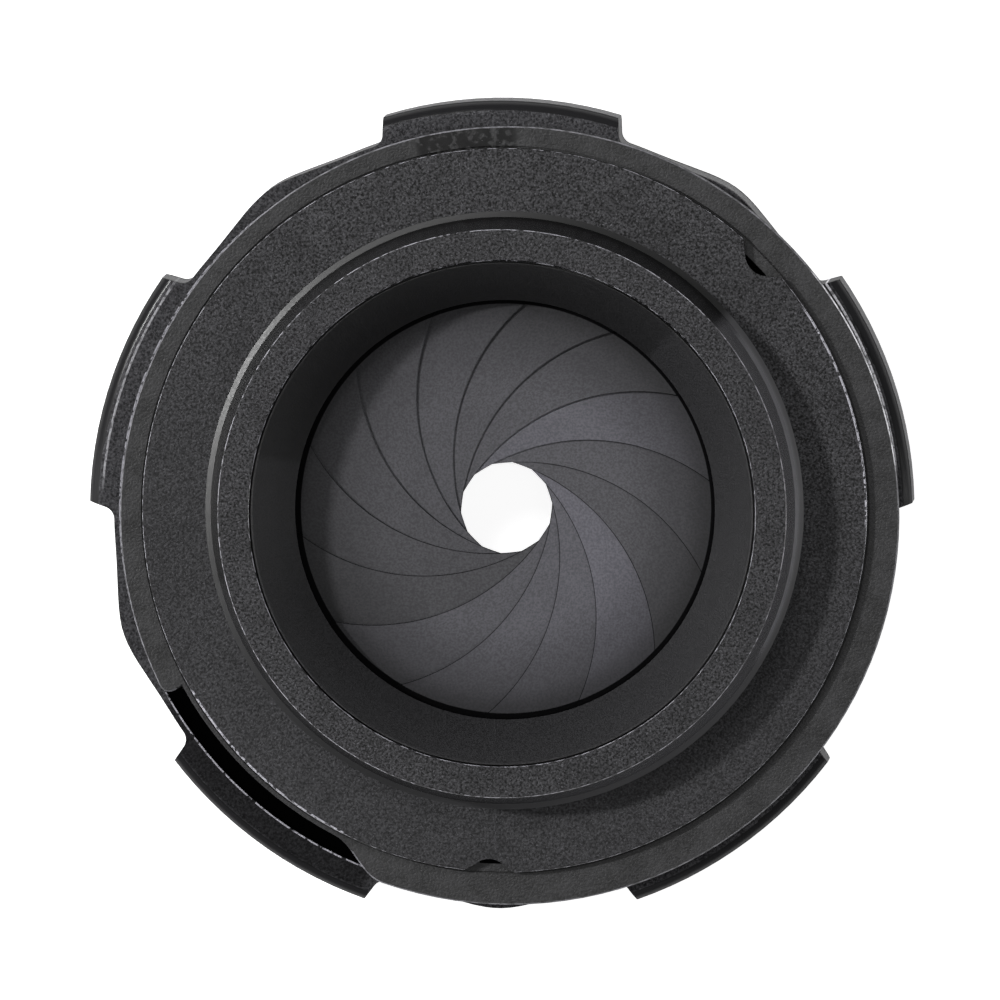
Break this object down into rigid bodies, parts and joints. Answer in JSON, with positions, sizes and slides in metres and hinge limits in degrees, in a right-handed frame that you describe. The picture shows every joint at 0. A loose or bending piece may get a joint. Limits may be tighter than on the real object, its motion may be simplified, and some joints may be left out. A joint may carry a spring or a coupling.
{
  "type": "iris diaphragm",
  "caption": "Ring-actuated iris diaphragm: a lobed grip ring turns a slotted rotor that swings overlapping steel blades round the opening.",
  "frame": {"origin": "on the optical axis, at the flat rear face of the housing", "axes": "+Z along the optical axis towards the front hub; +Y points to the middle of one grip lobe"},
  "size_m": [0.0824, 0.081, 0.02],
  "materials": {
    "anodised_textured": "black anodised, fine sparkling texture",
    "anodised_smooth": "black anodised, smooth matte",
    "anodised_throat": "black anodised, smooth matte",
    "anodised_grip": "black anodised, fine texture on the faces",
    "anodised_inner": "black anodised, turned",
    "blade_steel": "blackened spring steel, satin",
    "stud_steel": "turned steel",
    "bearing_brass": "turned, dull",
    "black_screws": "black oxide",
    "spring_steel": "phosphated spring steel",
    "sleeve_steel": "ground steel",
    "washer_nylon": "natural nylon"
  },
  "bodies": {
    "root": {"housing": "anodised_smooth", "pivot_ring": "bearing_brass", "pivot_ring_screws": "black_screws", "friction_washer": "washer_nylon", "front_cover": "anodised_textured", "throat_ring": "anodised_throat", "cover_screws": "black_screws", "grip_circlip": "spring_steel"},
    "turning_ring": {"grip_ring": "anodised_grip", "rotor": "anodised_inner", "drive_screw": "black_screws", "drive_sleeve": "sleeve_steel"},
    "leaf_01": {"blade_01": "blade_steel", "blade_studs_01": "stud_steel"},
    "leaf_02": {"blade_02": "blade_steel", "blade_studs_02": "stud_steel"},
    "leaf_03": {"blade_03": "blade_steel", "blade_studs_03": "stud_steel"},
    "leaf_04": {"blade_04": "blade_steel", "blade_studs_04": "stud_steel"},
    "leaf_05": {"blade_05": "blade_steel", "blade_studs_05": "stud_steel"},
    "leaf_06": {"blade_06": "blade_steel", "blade_studs_06": "stud_steel"},
    "leaf_07": {"blade_07": "blade_steel", "blade_studs_07": "stud_steel"},
    "leaf_08": {"blade_08": "blade_steel", "blade_studs_08": "stud_steel"},
    "leaf_09": {"blade_09": "blade_steel", "blade_studs_09": "stud_steel"},
    "leaf_10": {"blade_10": "blade_steel", "blade_studs_10": "stud_steel"},
    "leaf_11": {"blade_11": "blade_steel", "blade_studs_11": "stud_steel"},
    "leaf_12": {"blade_12": "blade_steel", "blade_studs_12": "stud_steel"},
    "leaf_13": {"blade_13": "blade_steel", "blade_studs_13": "stud_steel"},
    "leaf_14": {"blade_14": "blade_steel", "blade_studs_14": "stud_steel"}
  },
  "joints": [
    {"name": "ring_turn", "type": "hinge", "parent": "root", "child": "turning_ring", "pos_m": [0, 0, 0.008], "axis": [0, 0, 1], "range_deg": [-9.82, 74.3]},
    {"name": "blade_01_pivot", "type": "hinge", "parent": "root", "child": "leaf_01", "pos_m": [-0.01594, -0.019, 0.008], "axis": [0, 0, 1], "range_deg": [-5.91, 38.15]},
    {"name": "blade_02_pivot", "type": "hinge", "parent": "root", "child": "leaf_02", "pos_m": [-0.00612, -0.02403, 0.008], "axis": [0, 0, 1], "range_deg": [-5.91, 38.15]},
    {"name": "blade_03_pivot", "type": "hinge", "parent": "root", "child": "leaf_03", "pos_m": [0.00491, -0.02431, 0.008], "axis": [0, 0, 1], "range_deg": [-5.91, 38.15]},
    {"name": "blade_04_pivot", "type": "hinge", "parent": "root", "child": "leaf_04", "pos_m": [0.01497, -0.01977, 0.008], "axis": [0, 0, 1], "range_deg": [-5.91, 38.15]},
    {"name": "blade_05_pivot", "type": "hinge", "parent": "root", "child": "leaf_05", "pos_m": [0.02207, -0.01131, 0.008], "axis": [0, 0, 1], "range_deg": [-5.91, 38.15]},
    {"name": "blade_06_pivot", "type": "hinge", "parent": "root", "child": "leaf_06", "pos_m": [0.02479, -0.00062, 0.008], "axis": [0, 0, 1], "range_deg": [-5.91, 38.15]},
    {"name": "blade_07_pivot", "type": "hinge", "parent": "root", "child": "leaf_07", "pos_m": [0.02261, 0.0102, 0.008], "axis": [0, 0, 1], "range_deg": [-5.91, 38.15]},
    {"name": "blade_08_pivot", "type": "hinge", "parent": "root", "child": "leaf_08", "pos_m": [0.01594, 0.019, 0.008], "axis": [0, 0, 1], "range_deg": [-5.91, 38.15]},
    {"name": "blade_09_pivot", "type": "hinge", "parent": "root", "child": "leaf_09", "pos_m": [0.00612, 0.02403, 0.008], "axis": [0, 0, 1], "range_deg": [-5.91, 38.15]},
    {"name": "blade_10_pivot", "type": "hinge", "parent": "root", "child": "leaf_10", "pos_m": [-0.00491, 0.02431, 0.008], "axis": [0, 0, 1], "range_deg": [-5.91, 38.15]},
    {"name": "blade_11_pivot", "type": "hinge", "parent": "root", "child": "leaf_11", "pos_m": [-0.01497, 0.01977, 0.008], "axis": [0, 0, 1], "range_deg": [-5.91, 38.15]},
    {"name": "blade_12_pivot", "type": "hinge", "parent": "root", "child": "leaf_12", "pos_m": [-0.02207, 0.01131, 0.008], "axis": [0, 0, 1], "range_deg": [-5.91, 38.15]},
    {"name": "blade_13_pivot", "type": "hinge", "parent": "root", "child": "leaf_13", "pos_m": [-0.02479, 0.00062, 0.008], "axis": [0, 0, 1], "range_deg": [-5.91, 38.15]},
    {"name": "blade_14_pivot", "type": "hinge", "parent": "root", "child": "leaf_14", "pos_m": [-0.02261, -0.0102, 0.008], "axis": [0, 0, 1], "range_deg": [-5.91, 38.15]}
  ],
  "couplings": [
    {"joint": "blade_01_pivot", "follows": "ring_turn", "ratio": 0.5},
    {"joint": "blade_02_pivot", "follows": "ring_turn", "ratio": 0.5},
    {"joint": "blade_03_pivot", "follows": "ring_turn", "ratio": 0.5},
    {"joint": "blade_04_pivot", "follows": "ring_turn", "ratio": 0.5},
    {"joint": "blade_05_pivot", "follows": "ring_turn", "ratio": 0.5},
    {"joint": "blade_06_pivot", "follows": "ring_turn", "ratio": 0.5},
    {"joint": "blade_07_pivot", "follows": "ring_turn", "ratio": 0.5},
    {"joint": "blade_08_pivot", "follows": "ring_turn", "ratio": 0.5},
    {"joint": "blade_09_pivot", "follows": "ring_turn", "ratio": 0.5},
    {"joint": "blade_10_pivot", "follows": "ring_turn", "ratio": 0.5},
    {"joint": "blade_11_pivot", "follows": "ring_turn", "ratio": 0.5},
    {"joint": "blade_12_pivot", "follows": "ring_turn", "ratio": 0.5},
    {"joint": "blade_13_pivot", "follows": "ring_turn", "ratio": 0.5},
    {"joint": "blade_14_pivot", "follows": "ring_turn", "ratio": 0.5}
  ]
}
